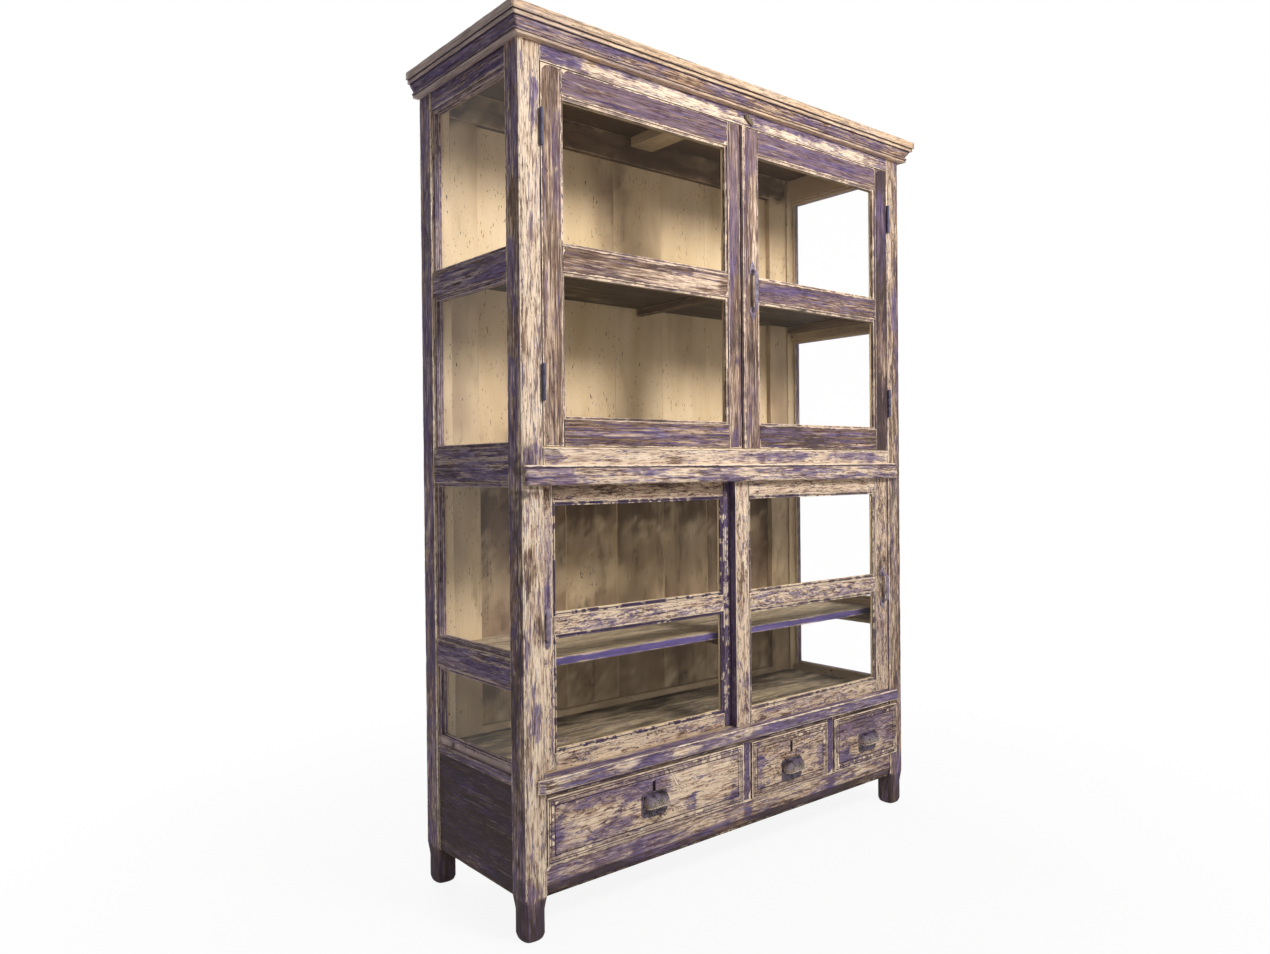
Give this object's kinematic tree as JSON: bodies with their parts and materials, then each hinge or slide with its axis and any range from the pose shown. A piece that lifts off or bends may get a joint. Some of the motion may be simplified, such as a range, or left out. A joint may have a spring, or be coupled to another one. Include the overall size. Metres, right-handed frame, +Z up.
{
  "type": "display cabinet",
  "caption": "Tall free-standing glazed display cabinet with hinged doors above, sliding doors below and drawers in the base, on square post feet.",
  "frame": {"origin": "on the floor under the middle of the whole cabinet, cornice included", "axes": "+X to the right seen from the front, +Y to the back, +Z up"},
  "size_m": [1.352, 0.458, 1.89],
  "materials": {
    "carcass_wood": "worn cream and violet paint over bare wood",
    "side_wood": "dark worn violet paint",
    "cornice_wood": "worn cream and violet paint over bare wood",
    "upper_door_wood": "worn violet paint over brown wood",
    "front_wood": "worn cream paint with violet streaks",
    "inner_wood": "old cream paint, matt",
    "glass": "clear window glass",
    "iron": "painted over and worn"
  },
  "bodies": {
    "cabinet": {"post_front_left": "carcass_wood", "post_front_right": "carcass_wood", "post_back_left": "carcass_wood", "post_back_right": "carcass_wood", "apron_rail": "carcass_wood", "drawer_rail": "front_wood", "sill_ledge": "carcass_wood", "waist_rail": "carcass_wood", "frieze_rail": "carcass_wood", "waist_moulding": "carcass_wood", "cornice_front": "cornice_wood", "cornice_returns": "cornice_wood", "top_board": "inner_wood", "ceiling_batten": "inner_wood", "side_rails_left": "side_wood", "side_rails_right": "side_wood", "side_boards": "side_wood", "side_panes": "glass", "side_beads": "side_wood", "back_boards": "inner_wood", "back_frame": "inner_wood", "upper_shelf": "inner_wood", "waist_deck": "inner_wood", "lower_shelf": "inner_wood", "cabinet_floor": "inner_wood", "shelf_bearers": "inner_wood", "hinge_post_leaves": "iron", "turn_button_screw": "iron", "drawer_dividers": "inner_wood", "drawer_runners": "inner_wood"},
    "upper_door_left": {"upper_door_left_frame": "upper_door_wood", "upper_door_left_panes": "glass", "upper_door_left_beads": "upper_door_wood", "upper_door_left_hinge_leaves": "iron"},
    "upper_door_right": {"upper_door_right_frame": "upper_door_wood", "upper_door_right_panes": "glass", "upper_door_right_beads": "upper_door_wood", "upper_door_right_hinge_leaves": "iron", "upper_door_right_meeting_bead": "upper_door_wood", "upper_door_right_pull": "iron"},
    "turn_button": {"turn_button": "iron"},
    "slider_left": {"slider_left_frame": "front_wood", "slider_left_panes": "glass", "slider_left_beads": "front_wood", "slider_left_pull": "iron"},
    "slider_right": {"slider_right_frame": "front_wood", "slider_right_panes": "glass", "slider_right_beads": "front_wood", "slider_right_pull": "iron"},
    "drawer_wide": {"drawer_wide_front": "front_wood", "drawer_wide_box": "inner_wood", "drawer_wide_pull": "iron", "drawer_wide_lock": "iron"},
    "drawer_middle": {"drawer_middle_front": "front_wood", "drawer_middle_box": "inner_wood", "drawer_middle_pull": "iron", "drawer_middle_lock": "iron"},
    "drawer_right": {"drawer_right_front": "front_wood", "drawer_right_box": "inner_wood", "drawer_right_pull": "iron"}
  },
  "joints": [
    {"name": "upper_door_left_hinge", "type": "hinge", "parent": "cabinet", "child": "upper_door_left", "pos_m": [-0.589, -0.2003, 1.404], "axis": [0, 0, -1], "range_deg": [0, 110]},
    {"name": "upper_door_right_hinge", "type": "hinge", "parent": "cabinet", "child": "upper_door_right", "pos_m": [0.589, -0.2003, 1.404], "axis": [0, 0, 1], "range_deg": [0, 110]},
    {"name": "turn_button_pivot", "type": "hinge", "parent": "cabinet", "child": "turn_button", "pos_m": [0.016, -0.195, 1.822], "axis": [0, 1, 0], "range_deg": [-32, 58]},
    {"name": "slider_left_slide", "type": "slide", "parent": "cabinet", "child": "slider_left", "axis": [1, 0, 0], "range_m": [0, 0.58]},
    {"name": "slider_right_slide", "type": "slide", "parent": "cabinet", "child": "slider_right", "axis": [1, 0, 0], "range_m": [-0.56, 0]},
    {"name": "drawer_wide_slide", "type": "slide", "parent": "cabinet", "child": "drawer_wide", "axis": [0, -1, 0], "range_m": [0, 0.3]},
    {"name": "drawer_middle_slide", "type": "slide", "parent": "cabinet", "child": "drawer_middle", "axis": [0, -1, 0], "range_m": [0, 0.3]},
    {"name": "drawer_right_slide", "type": "slide", "parent": "cabinet", "child": "drawer_right", "axis": [0, -1, 0], "range_m": [0, 0.3]}
  ]
}
